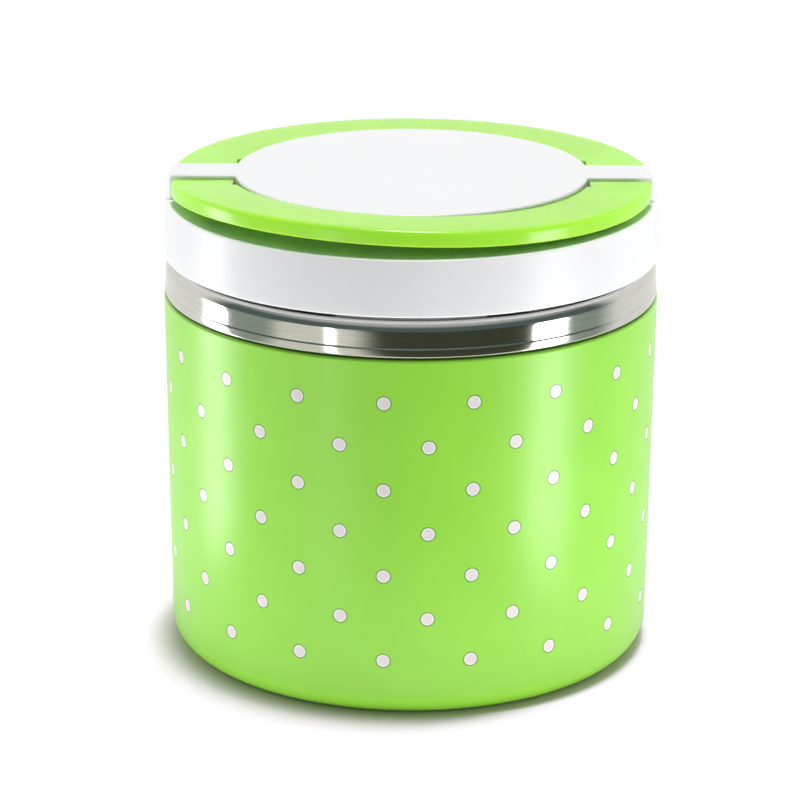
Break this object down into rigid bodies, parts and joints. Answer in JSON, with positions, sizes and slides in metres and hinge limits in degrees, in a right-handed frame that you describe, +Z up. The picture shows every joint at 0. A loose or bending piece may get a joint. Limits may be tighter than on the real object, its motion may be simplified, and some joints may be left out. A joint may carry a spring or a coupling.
{
  "type": "insulated lunch box",
  "caption": "Round insulated lunch box: plastic shell over a steel bowl, twist-on lid with fold-down half-ring handles.",
  "frame": {"origin": "on the ground, under the middle of the foot ring", "axes": "+Z up through the lid; -Y is the front, where the pictured handle is; the handles' pins lie along X"},
  "size_m": [0.145, 0.145, 0.1435],
  "materials": {
    "green_shell": "glossy lime green moulded plastic printed with small white dots",
    "foam": "closed-cell foam",
    "bowl_steel": "satin stainless steel",
    "collar_steel": "polished stainless steel",
    "white_lid": "glossy white moulded plastic",
    "white_plate": "satin white moulded plastic",
    "silicone": "milky silicone",
    "green_handle": "glossy lime green moulded plastic",
    "pin_steel": "plain steel"
  },
  "bodies": {
    "box": {"outer_shell": "green_shell", "foam_insulation": "foam", "inner_bowl": "bowl_steel", "neck_collar": "collar_steel"},
    "seal": {"lid_seal": "silicone"},
    "lid": {"lid_cover": "white_lid", "lid_inner_plate": "white_plate", "lid_insulation": "foam", "hinge_pin_front_left": "pin_steel", "hinge_pin_front_right": "pin_steel", "hinge_pin_rear_left": "pin_steel", "hinge_pin_rear_right": "pin_steel"},
    "front_handle": {"front_handle": "green_handle"},
    "rear_handle": {"rear_handle": "green_handle"}
  },
  "joints": [
    {"name": "lid_lift", "type": "slide", "parent": "box", "child": "seal", "axis": [0, 0, 1], "range_m": [0, 0.08]},
    {"name": "lid_twist", "type": "hinge", "parent": "seal", "child": "lid", "pos_m": [0, 0, 0.119], "axis": [0, 0, 1], "range_deg": [-40, 0]},
    {"name": "front_handle_swing", "type": "hinge", "parent": "lid", "child": "front_handle", "pos_m": [0, -0.0106, 0.1399], "axis": [-1, 0, 0], "range_deg": [-1.4, 95.6]},
    {"name": "rear_handle_swing", "type": "hinge", "parent": "lid", "child": "rear_handle", "pos_m": [0, 0.0106, 0.1399], "axis": [1, 0, 0], "range_deg": [0, 97]}
  ]
}
